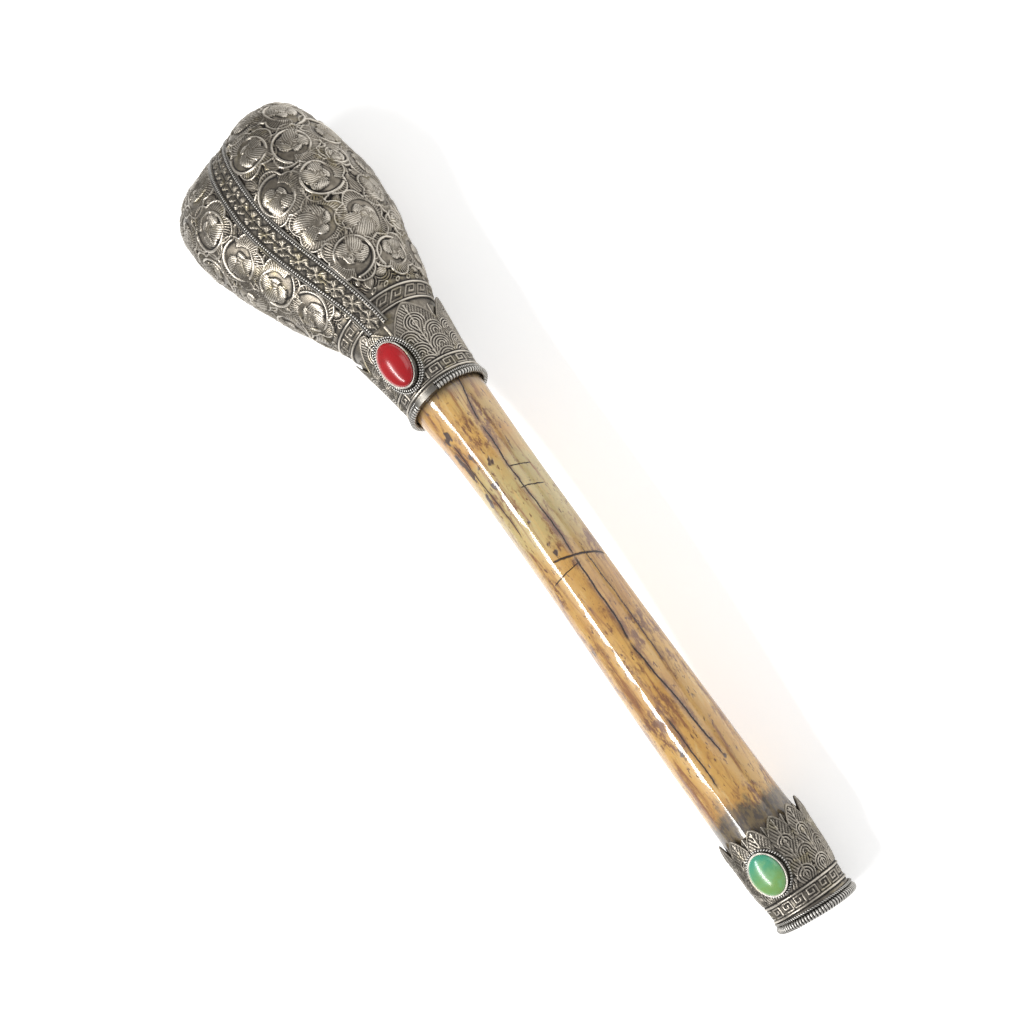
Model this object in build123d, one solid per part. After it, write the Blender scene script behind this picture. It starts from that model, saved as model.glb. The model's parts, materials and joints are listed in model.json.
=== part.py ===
"""Kangling: a trumpet made from a thigh bone, with repousse silver mounts, a coral and a turquoise.

Millimetres, +Z up, as the trumpet lies at rest on its back with the stones uppermost.
The origin is the centre of the mouthpiece rim; +X runs from the mouthpiece to the bell.
"""

import os
from math import cos, exp, pi, radians, sin, tan

from build123d import *

# ---- Shaft centreline: x runs along the chord from the mouth to the neck ring ----
CHORD = 222.0
MOUTH_STRAIGHT = 37.0
NECK_STRAIGHT = 5.0
BOW_TURN = 10.2  # degrees the shaft turns, bowing upwards
SIDE_BOW = 2.5  # how far the shaft bows to the right, most of it near the neck
REST_PITCH = 4.02  # degrees the chord rises towards the bell when rim and bell both touch the table
SLEEVE_LEAN = 3.5  # degrees the mouthpiece leans to the right of the bone
SLEEVE_PIVOT = 22.0  # where the mouthpiece's axis meets the bone's
RIM_LEAN = 3.0  # degrees the crooked rim leans further to the right

# ---- Bone: (distance along the centreline, outer radius), then its inset inside the bell ----
BONE_START = 6.0
SHAFT_RADII = [(BONE_START, 12.4), (40, 13.8), (72, 13.4), (104, 12.9), (135, 12.4), (157, 12.3), (190, 12.5)]
NECK_BONE_RADII = [(-12, 13.2), (0, 13.9), (14, 14.3)]  # (distance past the neck ring, radius)
BONE_INSET = 1.7  # silver surface to bone, inside the bell
BORE_RADIUS = 7.0
WALL_IN_BELL = 4.5
CAVITY_END = 118.0

# ---- Bell: (distance past the neck ring, left, right, front and back half-widths of the silver) ----
BELL_START = 26.0
BELL_LENGTH = 137.0
BELL_SHAPE = [
    (BELL_START, 16.8, 16.8, 16.9, 16.9),
    (38.0, 18.7, 18.4, 19.0, 19.0),
    (52.0, 22.8, 23.0, 22.5, 23.5),
    (68.0, 27.4, 28.6, 26.2, 26.8),
    (85.0, 31.2, 33.6, 29.0, 29.2),
    (101.0, 34.3, 34.4, 29.8, 30.0),
    (114.0, 36.6, 33.0, 27.8, 28.6),
    (125.0, 36.4, 30.2, 22.8, 23.4),
    (132.5, 32.8, 25.8, 15.6, 15.4),
    (BELL_LENGTH, 23.5, 18.0, 6.8, 6.6),
]
BELL_MIDDLE = 101.0  # past this station an inset shortens the bell instead of moving it
BELL_SLANT = 0.065  # the right lobe reaches further forward, per millimetre sideways
BELL_LEAN = 6.5  # how far the bell's middle drifts to the left as it widens
BELL_SQUARENESS = 0.3  # how much squarer than an ellipse the widest sections are
SECTION_POINTS = 24
SHEET = 0.5  # silver sheet thickness
FRONT_GROOVE = (2.5, 9.0)  # depth and width of the groove that the strap runs in
BACK_NOTCH = (6.0, 9.0)  # depth and width of the notch between the two back lobes
GROOVE_FADE = 7.0  # height over which a groove fades out towards the sides

# ---- Straps over the seams ----
STRAP_START = 32.0
STRAP_OFFSET = -2.3  # sideways place of the strap at its tip
STRAP_DRIFT = 8.8  # how far the strap then moves to the left
STRAP_TIP_HALF = 3.9
STRAP_HALF = 4.9
STRAP_SHEET = 0.45
STRAP_BEAD = 0.8  # beaded wire, width and height, lying on each border
STRAP_EDGE = 0.9  # plain wire, width and height, lying along each edge
BEAD_INSET = 0.15  # from the strap's border to its beaded wire
EDGE_GAP = 0.02  # from the strap's border to the plain wire

# ---- Sound holes, one in the end of each lobe ----
HOLE_RADIUS = 6.6
HOLE_RING = 1.2
HOLE_PROUD = 0.9
HOLE_TILT = 35.0  # degrees the hole axes drop towards the back
HOLE_APART = 18.5  # half the distance between the two hole axes
HOLE_SHIFT = -1.5  # how far both holes lie to the right of the bell's middle
HOLE_DROP = -3.0  # height where the hole axes start
HOLE_DEPTH = 24.0  # how far behind the bell's end they start

# ---- Mouthpiece ----
RIM_WIRE = 3.2
RIM_CORE_RADIUS = 12.55
ROPE_WIRE = 1.1
ROPE_RADIUS = 14.75
FOOT_LENGTH = 0.8  # how far a sleeve's foot runs up inside it
MOUTH_SLEEVE = [(4.6, 14.3), (10.5, 14.45), (16.5, 15.3), (22.0, 15.55), (29.0, 15.6), (37.0, 15.5)]
MOUTH_PETALS = 12
MOUTH_PETAL_VALLEY = 31.0
MOUTH_PETAL_OFFSET = 8.0
END_PLATE = 0.6  # thickness of the plate that closes the mouth
MOUTH_BORE_RADIUS = 4.5
MOUTH_TUBE_WALL = 1.1
MOUTH_TUBE_END = 20.0
MOUTH_PITCH_END = 30.0

# ---- Neck collar ----
NECK_COIL_WIRE = 2.3
NECK_CORE_RADIUS = 14.6
NECK_BEAD_WIRE = 1.0
NECK_BEAD_PROUD = 0.25  # how much wider the beaded wire's ring is than the coil's
NECK_SLEEVE = [(3.6, 15.6), (12.0, 16.25), (18.5, 17.0), (25.0, 17.9), (31.0, 18.6), (36.0, 19.2)]
NECK_PETALS = 10
NECK_PETAL_VALLEY = 30.5
NECK_PETAL_OFFSET = 0.0
JOINT_PLATE_SPAN = 36.0  # degrees of the ring that the joint plate covers
JOINT_PLATE_AZIMUTH = 0.0
JOINT_PLATE_PROUD = 1.1  # how far the plate's face stands outside the coil's middle
JOINT_PLATE_ENDS = (0.1, 2.6)  # where the plate starts and ends along the bone
JOINT_GAP = 0.4  # degrees by which the gap in the wires is wider than the plate
NECK_PITCH_END = 25.0

# ---- Stones: place along the sleeve, azimuth towards +Y, stone length, width and height ----
CORAL = {"at": 17.0, "azimuth": 2.0, "length": 18.7, "width": 12.0, "dome": 3.4, "bezel": 2.4}
TURQUOISE = {"at": 21.0, "azimuth": 2.0, "length": 15.0, "width": 12.0, "dome": 2.4, "bezel": 1.9}
BEZEL_WALL = 0.6
SETTING_PLATE = 0.5
BED_DEPTH = 1.1  # top of the stone's bed, below the bezel's top
SETTING_BEAD = 0.8
BEZEL_CLEAR = 0.15  # from the bezel to the first beaded wire
BEAD_CLEAR = 0.1  # from one beaded wire to the next
STONE_GAP = 0.02

UP = Vector(0, 0, 1)


# ---- Frames ----
def upward_bow(x):
    """Height and slope of the shaft above its chord: straight, parabola, straight."""
    turn = radians(BOW_TURN)
    bent = CHORD - MOUTH_STRAIGHT - NECK_STRAIGHT
    slope = turn * (bent / 2 + NECK_STRAIGHT) / CHORD
    curved = min(max(x - MOUTH_STRAIGHT, 0), bent)
    after = max(x - MOUTH_STRAIGHT - bent, 0)
    slope_now = slope - turn * curved / bent
    height = slope * min(x, MOUTH_STRAIGHT) + (slope + slope_now) / 2 * curved + slope_now * after
    return height, slope_now


def side_bow(x):
    """Sideways place and slope of the shaft beside its chord: a cubic that peaks two thirds along."""
    share = x / CHORD
    return -SIDE_BOW * 6.75 * share**2 * (1 - share), -SIDE_BOW * 6.75 * (2 * share - 3 * share**2) / CHORD


def frame_at(x):
    """Plane on the shaft's centreline whose x runs along the bone and whose z is nearest to up."""
    pitch = radians(REST_PITCH)
    chord, square, left = Vector(cos(pitch), 0, sin(pitch)), Vector(-sin(pitch), 0, cos(pitch)), Vector(0, 1, 0)
    (height, climb), (side, drift) = upward_bow(x), side_bow(x)
    side -= SLEEVE_PIVOT * tan(radians(SLEEVE_LEAN))
    point = chord * x + square * height + left * side
    tangent = (chord + square * climb + left * drift).normalized()
    return Plane(origin=point, x_dir=tangent, z_dir=UP - tangent * UP.dot(tangent))


def leaning(plane, degrees):
    """The same frame, turned about the vertical towards the right."""
    return plane.rotated((0, 0, -degrees))


NECK = frame_at(CHORD)
MOUTH = leaning(Plane(origin=(0, 0, 0), x_dir=frame_at(0).x_dir, z_dir=frame_at(0).z_dir), SLEEVE_LEAN)
RIM = leaning(MOUTH, RIM_LEAN)


def put(plane, shape):
    """A shape drawn at the origin, moved into a frame."""
    return plane.location * shape


# ---- Bell surface ----
def smooth_step(value):
    value = min(max(value, 0.0), 1.0)
    return value * value * (3 - 2 * value)


def bell_centre(x):
    """The bell leans to the left as it widens."""
    return BELL_LEAN * smooth_step((x - 30) / 75)


def strap_line(x):
    """Sideways place of the strap's middle."""
    return STRAP_OFFSET + STRAP_DRIFT * smooth_step((x - 35) / 65)


def section(plane, x, halves, groove_share):
    """Closed curve round the bone at x, from left, right, front and back half-widths."""
    left, right, front, back = halves
    power = 2.0 + BELL_SQUARENESS * smooth_step(x / 90)
    slant = BELL_SLANT * smooth_step((x - 50) / 60)
    points = []
    for step in range(SECTION_POINTS):
        angle = 2 * pi * step / SECTION_POINTS
        across, height = sin(angle), cos(angle)
        wide = left if across > 0 else right
        tall = front if height > 0 else back
        reach = (abs(across / wide) ** power + abs(height / tall) ** power) ** (-1 / power)
        y, z = reach * across, reach * height
        depth, width = FRONT_GROOVE if z > 0 else BACK_NOTCH
        dip = depth * groove_share * exp(-(((y - strap_line(x) + bell_centre(x)) / width) ** 2))
        z -= dip * max(-1.0, min(1.0, z / GROOVE_FADE))
        points.append(plane.from_local_coords(Vector(x - y * slant, y + bell_centre(x), z)))
    return Wire(Spline(*points, periodic=True))


def bell_sections(inset, shape=BELL_SHAPE, last=BELL_LENGTH):
    """Sections of the bell's surface moved inwards by inset."""
    wires = []
    for x, *halves in shape:
        if x > BELL_MIDDLE:
            x = BELL_MIDDLE + (x - BELL_MIDDLE) * (last - inset - BELL_MIDDLE) / (last - BELL_MIDDLE)
        groove = smooth_step((x - 55) / 50) * smooth_step((BELL_LENGTH + 12 - x) / 20)
        wires.append(section(NECK, x, [half - inset for half in halves], groove))
    return wires


def bell_solid(inset):
    """The bell as a filled solid, its surface moved inwards by inset."""
    return Solid.make_loft(bell_sections(inset))


# ---- Sleeves: everything round about a straight axis ----
def turned(points):
    """Ring or solid from an (x, radius) outline turned about the local x axis."""
    outline = Polyline(*[Vector(x, 0, radius) for x, radius in points], close=True)
    return revolve(make_face(outline), Axis.X, 360)


def flared(stations, lift):
    """Filled solid under a smooth profile through (x, radius) stations, raised by lift."""
    profile = Spline(*[Vector(x, 0, radius + lift) for x, radius in stations])
    first, last = profile @ 0, profile @ 1
    corners = [last, Vector(last.X, 0, 0), Vector(first.X, 0, 0), first]
    sides = [Line(a, b) for a, b in zip(corners, corners[1:])]
    return revolve(make_face([profile] + sides), Axis.X, 360)


def under_sleeve(stations, end):
    """Filled solid that fits inside a sleeve, from its step to end along the axis."""
    first = stations[0][0] + SHEET
    return flared(stations, -SHEET) & turned([(first, 0), (first, 40), (end, 40), (end, 0)])


def wire_ring(x, radius, wire):
    """Round wire bent into a ring about the local x axis."""
    return Location((x, 0, 0), (0, 90, 0)) * Torus(radius, wire / 2)


def petal_notches(count, offset, valley, tip, reach):
    """Wedges that cut the end of a sleeve into pointed petals."""
    half = pi * reach / count
    wedge = Polyline((valley, 0), (tip, half), (tip + 8, half), (tip + 8, -half), (tip, -half), close=True)
    cutter = extrude(make_face(wedge), reach * 1.6)
    turn = 360 / count
    return [Rot(offset + turn * (step + 0.5), 0, 0) * cutter for step in range(count)]


def sleeve(place, rim, stations, core_radius, core_start, notches):
    """Flared sheet sleeve, stepped in to a straight foot in the rim's frame, with a petalled end."""
    first, radius = stations[0]
    shell = flared(stations, 0) - flared(stations, -SHEET)
    step = tube(core_radius - SHEET, radius - 0.01, first, first + SHEET)
    foot = tube(core_radius - SHEET, core_radius, core_start, first + FOOT_LENGTH)
    return put(place, shell - notches) + put(place, step) + put(rim, foot)


def tube(inner, outer, start, end):
    """Straight ring about the local x axis."""
    ring = Cylinder(outer, end - start) - Cylinder(inner, end - start)
    return Pos((start + end) / 2, 0, 0) * Rot(0, 90, 0) * ring


def radius_at(stations, x):
    """Radius of a sleeve between two of its stations."""
    for (x0, r0), (x1, r1) in zip(stations, stations[1:]):
        if x0 <= x <= x1:
            return r0 + (r1 - r0) * (x - x0) / (x1 - x0)
    raise ValueError("x is off the sleeve")


# ---- Bone ----
def bone_outside():
    wires = [section(frame_at(x), 0, [radius] * 4, 0) for x, radius in SHAFT_RADII]
    wires += [section(NECK, x, [radius] * 4, 0) for x, radius in NECK_BONE_RADII]
    wires += bell_sections(BONE_INSET)
    return Solid.make_loft(wires)


def bone_cavity():
    """The marrow bore and the hollow that it opens into inside the bell."""
    places = [frame_at(x).origin for x in (-2, MOUTH_STRAIGHT, 80, 120, 160, 200, CHORD)]
    path = Spline(*places, NECK.from_local_coords(Vector(40, 0, 0)))
    bore = sweep(Plane(origin=path @ 0, z_dir=path % 0) * Circle(BORE_RADIUS), path)
    inside = [row for row in BELL_SHAPE if row[0] < CAVITY_END]
    hollow = Solid.make_loft(bell_sections(BONE_INSET + WALL_IN_BELL, inside, CAVITY_END + WALL_IN_BELL))
    return bore, hollow


# ---- Sound holes ----
def hole_frame(side):
    """Frame at the end of one lobe, its z pointing out along the hole."""
    tilt = radians(HOLE_TILT)
    out = NECK.x_dir * cos(tilt) - NECK.z_dir * sin(tilt)
    across = bell_centre(BELL_LENGTH) + side * HOLE_APART + HOLE_SHIFT
    start = Vector(BELL_LENGTH - HOLE_DEPTH, across, HOLE_DROP)
    return Plane(origin=NECK.from_local_coords(start), x_dir=NECK.y_dir, z_dir=out)


def hole_cylinder(side, radius):
    return put(hole_frame(side), Pos(0, 0, 25) * Cylinder(radius, 50))


# ---- Straps ----
def strap_half(x):
    return STRAP_TIP_HALF + (STRAP_HALF - STRAP_TIP_HALF) * smooth_step((x - STRAP_START) / 40)


def ribbon_prism(low, high):
    """Upright prism over a ribbon whose borders lie low and high beside the strap's middle line."""
    places = [STRAP_START, 45, 60, 75, 90, 105, 120, BELL_LENGTH + 5]
    borders = [
        Spline(*[Vector(x, strap_line(x) + offset(x), 0) for x in places])
        for offset in (low, high)
    ]
    ends = [Line(borders[0] @ end, borders[1] @ end) for end in (0, 1)]
    return extrude(make_face(borders + ends), 45)


def strap_prism():
    return ribbon_prism(lambda x: -strap_half(x), strap_half)


def edge_prism(side, start, end):
    """Prism over a wire beside one border, from start to end measured outwards from it."""
    near, far = (lambda x: side * (strap_half(x) + start)), (lambda x: side * (strap_half(x) + end))
    return ribbon_prism(near, far)


def on_side(prism, front):
    """An upright prism, placed on the front or on the back of the bell."""
    return put(NECK, prism if front else mirror(prism, Plane.XY))


def strap_parts(name, front, layers):
    """Strap sheet with a beaded wire on each border and a plain wire along each edge."""
    casing, strap_top, bead_top, edge_top = layers
    parts = {name: (strap_top - casing) & on_side(strap_prism(), front)}
    for word, side in (("left", 1), ("right", -1)):
        edge = on_side(edge_prism(side, EDGE_GAP, STRAP_EDGE), front)
        parts[f"{name}_edge_wire_{word}"] = (edge_top - casing) & edge
        if front:
            bead = on_side(edge_prism(side, -BEAD_INSET - STRAP_BEAD, -BEAD_INSET), front)
            parts[f"{name}_bead_wire_{word}"] = (bead_top - strap_top) & bead
    return parts


# ---- Stone settings ----
def oval_prism(length, width, low, high):
    return Pos(0, 0, low) * extrude(Ellipse(length / 2, width / 2).face(), high - low)


def oval_ring(length, width, wall, low, high):
    return oval_prism(length + 2 * wall, width + 2 * wall, low, high) - oval_prism(length, width, low - 1, high + 1)


def setting(name, place, stations, stone, bead_rows):
    """Plate, bezel, beaded wires, bed and stone, standing on a sleeve."""
    surface = radius_at(stations, stone["at"])
    lifts = (0, SETTING_PLATE, SETTING_PLATE + SETTING_BEAD)
    under, on_plate, on_beads = (put(place, flared(stations, lift)) for lift in lifts)
    out = Plane(
        origin=place.from_local_coords(Vector(stone["at"], 0, 0)),
        x_dir=place.x_dir,
        z_dir=place.z_dir.rotate(Axis((0, 0, 0), place.x_dir), -stone["azimuth"]),
    )
    length, width = stone["length"], stone["width"]
    top = surface + stone["bezel"]
    bed_top = top - BED_DEPTH
    clear = BEZEL_WALL + BEZEL_CLEAR
    row_pitch = SETTING_BEAD + BEAD_CLEAR
    plate_reach = clear + bead_rows * row_pitch
    low = surface * 0.4
    parts = {
        f"{name}_plate": put(out, oval_prism(length + 2 * plate_reach, width + 2 * plate_reach, low, top)) & on_plate,
        f"{name}_bezel": put(out, oval_ring(length, width, BEZEL_WALL, low, top)) - on_plate,
        f"{name}_bed": put(out, oval_prism(length, width, low, bed_top)) - on_plate,
        f"{name}_stone": put(out, cabochon(length, width, bed_top, top, stone["dome"])),
    }
    parts[f"{name}_plate"] -= under
    for row in range(bead_rows):
        gap = clear + row * row_pitch
        ring = put(out, oval_ring(length + 2 * gap, width + 2 * gap, SETTING_BEAD, low, top))
        word = ("inner", "outer")[row] if bead_rows > 1 else "round"
        parts[f"{name}_bead_wire_{word}"] = (ring & on_beads) - on_plate
    return parts


def cabochon(length, width, low, girdle, dome):
    """Domed oval stone with a short straight girdle."""
    length -= 2 * STONE_GAP
    width -= 2 * STONE_GAP
    whole = scale(Sphere(1), by=(length / 2, width / 2, dome))
    upper = whole & Pos(0, 0, dome) * Box(length + 1, width + 1, 2 * dome)
    return Pos(0, 0, girdle) * upper + oval_prism(length, width, low, girdle)


# ---- Assemblies ----
def neck_parts():
    """The petalled collar, the two wires of its ring and the plate over their joint."""
    tip, tip_radius = NECK_SLEEVE[-1]
    notches = petal_notches(NECK_PETALS, NECK_PETAL_OFFSET, NECK_PETAL_VALLEY, tip, tip_radius)
    for front in (True, False):
        notches.append(ribbon_and_edges(front))
    coil_radius = NECK_CORE_RADIUS + NECK_COIL_WIRE / 2
    bead_x = NECK_COIL_WIRE + NECK_BEAD_WIRE / 2 + 0.05
    gap = joint_sector(JOINT_PLATE_SPAN, NECK_CORE_RADIUS - 1, coil_radius + 4, -1, 4)
    face = coil_radius + JOINT_PLATE_PROUD
    plate = joint_sector(JOINT_PLATE_SPAN - JOINT_GAP, NECK_CORE_RADIUS + 0.02, face, *JOINT_PLATE_ENDS)
    parts = {
        "neck_coil_wire": wire_ring(NECK_COIL_WIRE / 2, coil_radius, NECK_COIL_WIRE) - gap,
        "neck_bead_wire": wire_ring(bead_x, coil_radius + NECK_BEAD_PROUD, NECK_BEAD_WIRE) - gap,
        "neck_joint_plate": plate,
    }
    placed = {node: put(NECK, shape) for node, shape in parts.items()}
    placed["neck_sleeve"] = sleeve(NECK, NECK, NECK_SLEEVE, NECK_CORE_RADIUS, 0.0, notches)
    return placed


def ribbon_and_edges(front):
    """Room for a strap's end and its edge wires between two petals."""
    reach = STRAP_EDGE + 0.05
    room = ribbon_prism(lambda x: -strap_half(x) - reach, lambda x: strap_half(x) + reach)
    return room if front else mirror(room, Plane.XY)


def joint_sector(span, low, high, start, end):
    """Part of a ring, centred on an azimuth."""
    ring = Rot(0, 90, 0) * (Cylinder(high, end - start) - Cylinder(low, end - start + 1))
    half = radians(span / 2)
    wedge = Polyline((0, 0), (40 * sin(half), 40 * cos(half)), (-40 * sin(half), 40 * cos(half)), close=True)
    cutter = Plane(origin=(-20, 0, 0), x_dir=(0, 1, 0), z_dir=(1, 0, 0)) * make_face(wedge)
    sector = (Pos((start + end) / 2, 0, 0) * ring) & extrude(cutter, 60)
    return Rot(JOINT_PLATE_AZIMUTH, 0, 0) * sector


def mouth_parts(bone):
    """Petalled sleeve, end plate, blowing tube, rim wires and the pitch that holds them."""
    tip, tip_radius = MOUTH_SLEEVE[-1]
    notches = petal_notches(MOUTH_PETALS, MOUTH_PETAL_OFFSET, MOUTH_PETAL_VALLEY, tip, tip_radius)
    tube_radius = MOUTH_BORE_RADIUS + MOUTH_TUBE_WALL
    foot_end = MOUTH_SLEEVE[0][0]
    parts = {
        "mouth_end_plate": tube(tube_radius, RIM_CORE_RADIUS, 0, END_PLATE),
        "mouth_tube": tube(MOUTH_BORE_RADIUS, tube_radius, 0, MOUTH_TUBE_END),
        "mouth_coil_wire": wire_ring(RIM_WIRE / 2, RIM_CORE_RADIUS + RIM_WIRE / 2, RIM_WIRE),
        "mouth_rope_wire": wire_ring(RIM_WIRE + ROPE_WIRE / 2, ROPE_RADIUS, ROPE_WIRE),
    }
    placed = {node: put(RIM, shape) for node, shape in parts.items()}
    whole_sleeve = sleeve(MOUTH, RIM, MOUTH_SLEEVE, RIM_CORE_RADIUS, END_PLATE, notches)
    filling = put(MOUTH, under_sleeve(MOUTH_SLEEVE, MOUTH_PITCH_END))
    filling += put(RIM, tube(tube_radius, RIM_CORE_RADIUS - SHEET, END_PLATE, foot_end + FOOT_LENGTH))
    filling -= put(RIM, Rot(0, 90, 0) * Cylinder(tube_radius, 120))
    return placed | {"mouth_sleeve": whole_sleeve, "mouth_pitch": filling - bone - whole_sleeve}


def bell_parts():
    bore, hollow = bone_cavity()
    outside = bone_outside()
    rings = [hole_cylinder(side, HOLE_RADIUS + HOLE_RING) for side in (1, -1)]
    bone = outside - bore - hollow - rings[0] - rings[1]
    silver, under_silver = bell_solid(0), bell_solid(SHEET)
    proud = bell_solid(-HOLE_PROUD)
    casing = silver - under_silver - rings[0] - rings[1]
    seam = put(NECK, Pos(0, 0, -45) * left_half())
    parts = {
        "bone_tube": bone,
        "bell_casing_left": casing & seam,
        "bell_casing_right": casing - seam,
        "bell_pitch": under_silver - outside - rings[0] - rings[1],
    }
    for word, side, ring in (("left", 1, rings[0]), ("right", -1, rings[1])):
        parts[f"sound_hole_ring_{word}"] = ((ring - hole_cylinder(side, HOLE_RADIUS)) & proud) - hollow
    layers = (silver, bell_solid(-STRAP_SHEET), bell_solid(-STRAP_SHEET - STRAP_BEAD), bell_solid(-STRAP_EDGE))
    parts |= strap_parts("front_strap", True, layers)
    parts |= strap_parts("rear_strap", False, layers)
    return parts, outside


def left_half():
    """Upright block on the left of the seam, which runs under the middle of the strap."""
    places = [20, 35, 50, 65, 80, 95, 110, 125, BELL_LENGTH + 5]
    seam = Spline(*[Vector(x, strap_line(x), 0) for x in places])
    far = 60
    corners = [seam @ 1, (places[-1], far, 0), (places[0], far, 0), seam @ 0]
    sides = [Line(a, b) for a, b in zip(corners, corners[1:])]
    return extrude(make_face([seam] + sides), 90)


def neck_pitch(outside):
    """Pitch that fills the space between the bone and the neck collar."""
    return put(NECK, under_sleeve(NECK_SLEEVE, NECK_PITCH_END)) - outside


def all_parts():
    parts, outside = bell_parts()
    parts |= neck_parts()
    parts["neck_pitch"] = neck_pitch(outside)
    parts |= mouth_parts(parts["bone_tube"])
    parts |= setting("coral", NECK, NECK_SLEEVE, CORAL, 2)
    parts |= setting("turquoise", MOUTH, MOUTH_SLEEVE, TURQUOISE, 1)
    return parts


os.makedirs("parts", exist_ok=True)
for node, shape in all_parts().items():
    shape.label = node
    export_step(shape, f"parts/{node}.step")
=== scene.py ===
"""Looks of the bone trumpet: repousse silver, carved petals, twisted wires, stones, polished bone."""

import json
from functools import partial
from math import cos, pi, radians, sin

import bpy
import numpy as np
from mathutils import Matrix, Vector
from mathutils.bvhtree import BVHTree


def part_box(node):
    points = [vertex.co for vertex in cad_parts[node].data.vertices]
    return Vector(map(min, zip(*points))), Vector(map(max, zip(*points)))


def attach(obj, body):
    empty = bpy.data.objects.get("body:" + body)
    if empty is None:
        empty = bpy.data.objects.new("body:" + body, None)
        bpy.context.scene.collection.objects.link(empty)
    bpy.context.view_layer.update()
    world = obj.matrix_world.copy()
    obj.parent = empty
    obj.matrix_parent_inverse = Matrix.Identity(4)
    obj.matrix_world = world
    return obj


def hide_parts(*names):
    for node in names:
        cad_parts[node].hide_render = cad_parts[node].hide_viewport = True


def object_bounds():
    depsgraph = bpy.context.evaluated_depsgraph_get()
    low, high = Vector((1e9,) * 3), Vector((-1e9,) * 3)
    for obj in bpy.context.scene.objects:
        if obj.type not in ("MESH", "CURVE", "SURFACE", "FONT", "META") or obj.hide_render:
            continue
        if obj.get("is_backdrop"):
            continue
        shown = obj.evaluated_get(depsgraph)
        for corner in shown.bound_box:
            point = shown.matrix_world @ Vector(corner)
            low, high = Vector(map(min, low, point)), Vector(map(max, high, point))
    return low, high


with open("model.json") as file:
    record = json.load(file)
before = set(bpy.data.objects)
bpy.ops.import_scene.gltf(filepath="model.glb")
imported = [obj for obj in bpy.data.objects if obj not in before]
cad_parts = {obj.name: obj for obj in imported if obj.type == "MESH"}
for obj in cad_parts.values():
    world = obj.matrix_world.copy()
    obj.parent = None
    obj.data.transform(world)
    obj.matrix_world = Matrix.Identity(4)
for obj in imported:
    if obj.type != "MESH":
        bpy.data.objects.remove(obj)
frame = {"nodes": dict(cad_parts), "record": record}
bounds_at_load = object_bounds()

MM = 0.001
FAR = 99.0  # mm, further than anything on the trumpet is wide
BESIDE = 40.0  # mm, from a sleeve's axis to where rays at it start
BODY = "root"

# ---- Bell, in mm; places along it are counted from the neck ring ----
ROW_STEP = 0.34  # between rows of the bell's mesh
HALF_COLUMNS = 320
FAN_DEPTH = 37.0  # from the bell's far end to where its last rows fan out from
FAN_END = 88.0  # degrees
OUTSIDE = 60.0  # from the bell's spine, where rays start
FOLIAGE_START = 45.0
MOTIF_SIZES = (8.6, 7.4, 6.4, 5.2, 4.2, 3.4, 2.6, 2.0, 1.5)  # radii of roundels and leaves
LEAF_SIZE = 4.6  # motifs of this size or less are single leaves
EMBOSSING = 1.35  # how much the motifs are raised
GROUND = -0.5  # height of the sheet between the motifs
VEIN_PITCH = 0.95  # between the fine ridges that fill the ground
RELIEF_LOW, RELIEF_HIGH = -0.6, 1.3  # heights that count as fully hollow and fully raised
HOLE_RADIUS = 7.2  # opening in the sheet round a sound hole's axis
HOLE_BORDER = 8.6  # the foliage stays this far from the axis
HOLE_REACH = 16.0  # how far behind its ring a sound hole counts
STRAP_BORDER = 1.0  # plain sheet beside a strap
BELL_BAND = (36.2, 41.2)  # key-fret band, from and to
BELL_BAND_CELL = 6.4
PUNCH_ROW, PUNCH_PITCH, PUNCH_RADIUS = 43.6, 5.2, 0.75  # row of ring punches past the band
PACKING_SEED = 5
GOLDEN_TURN = 2.399  # radians from one motif's turn to the next

# ---- Straps, in mm ----
STRAP_COLUMNS = 31
STRAP_EDGING = 1.1  # plain border at each side, under the beads
FLOWER_PITCH = 8.2
STRAP_BEAD_RADIUS = 0.52
STRAP_BEAD_PITCH = 1.0
STRAP_EDGE_RADIUS = 0.5

# ---- Sleeves, in mm from their rings ----
SLEEVE_COLUMNS = 330
SLEEVE_ROWS = 110
BAND_CELLS = 17  # scrolls of the key-fret band round a sleeve
COLLAR_BAND = (15.9, 4.9, 9.2)  # the band's radius, and where it starts and ends
MOUTH_BAND = (14.4, 5.9, 10.2)
COLLAR_RADIUS = 18.6  # where the straps leave the collar
PETAL_POWER = 1.5  # 1 for straight-sided petals, more for rounder ones
# Nested arcs on a petal: place along it, offset to its sides (both as shares of the petal), reach
COLLAR_FANS = ((0.62, 0.0, 4.4), (0.40, 0.6, 4.4), (0.16, 0.5, 4.6), (-0.08, 0.5, 4.8))
MOUTH_FANS = ((0.60, 0.0, 2.9), (0.34, 1.0, 3.5), (0.10, 0.0, 3.6), (-0.14, 1.0, 3.6))

# ---- Wires, in mm ----
COIL_SLANT = 0.5  # radians that a wound wire's turns lean
SETTING_BEAD_RADIUS = 0.5
SETTING_BEAD_PITCH = 0.95
OPEN_GAP = 15  # degrees; a ring with a wider gap than this is an open one

# ---- Motifs: each leaf's lean in radians, its length and width as shares of the motif ----
SPRAY = ((2.7, 0.50, 0.34), (1.25, 0.80, 0.42), (-1.2, 0.84, 0.40), (0.0, 0.92, 0.46))
FAN = ((2.2, 0.66, 0.34), (-2.0, 0.70, 0.36), (1.05, 1.05, 0.46), (-0.95, 1.0, 0.44), (0.0, 1.15, 0.5))

# ---- Bone, in mm; places along it are world x, places round it grow to its right ----
BONE_RADIUS = 13.0  # turns an angle round the bone into a distance
DIRTY_BELOW, DIRTY_ABOVE = 46.0, 217.0  # beside the mounts
GREENISH_FROM, GREENISH_FULL = 120.0, 170.0
PITTED = (172.0, 212.0)
STAIN_REACH = 4.5  # how far the stain beside a crack goes, in crack widths
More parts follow.
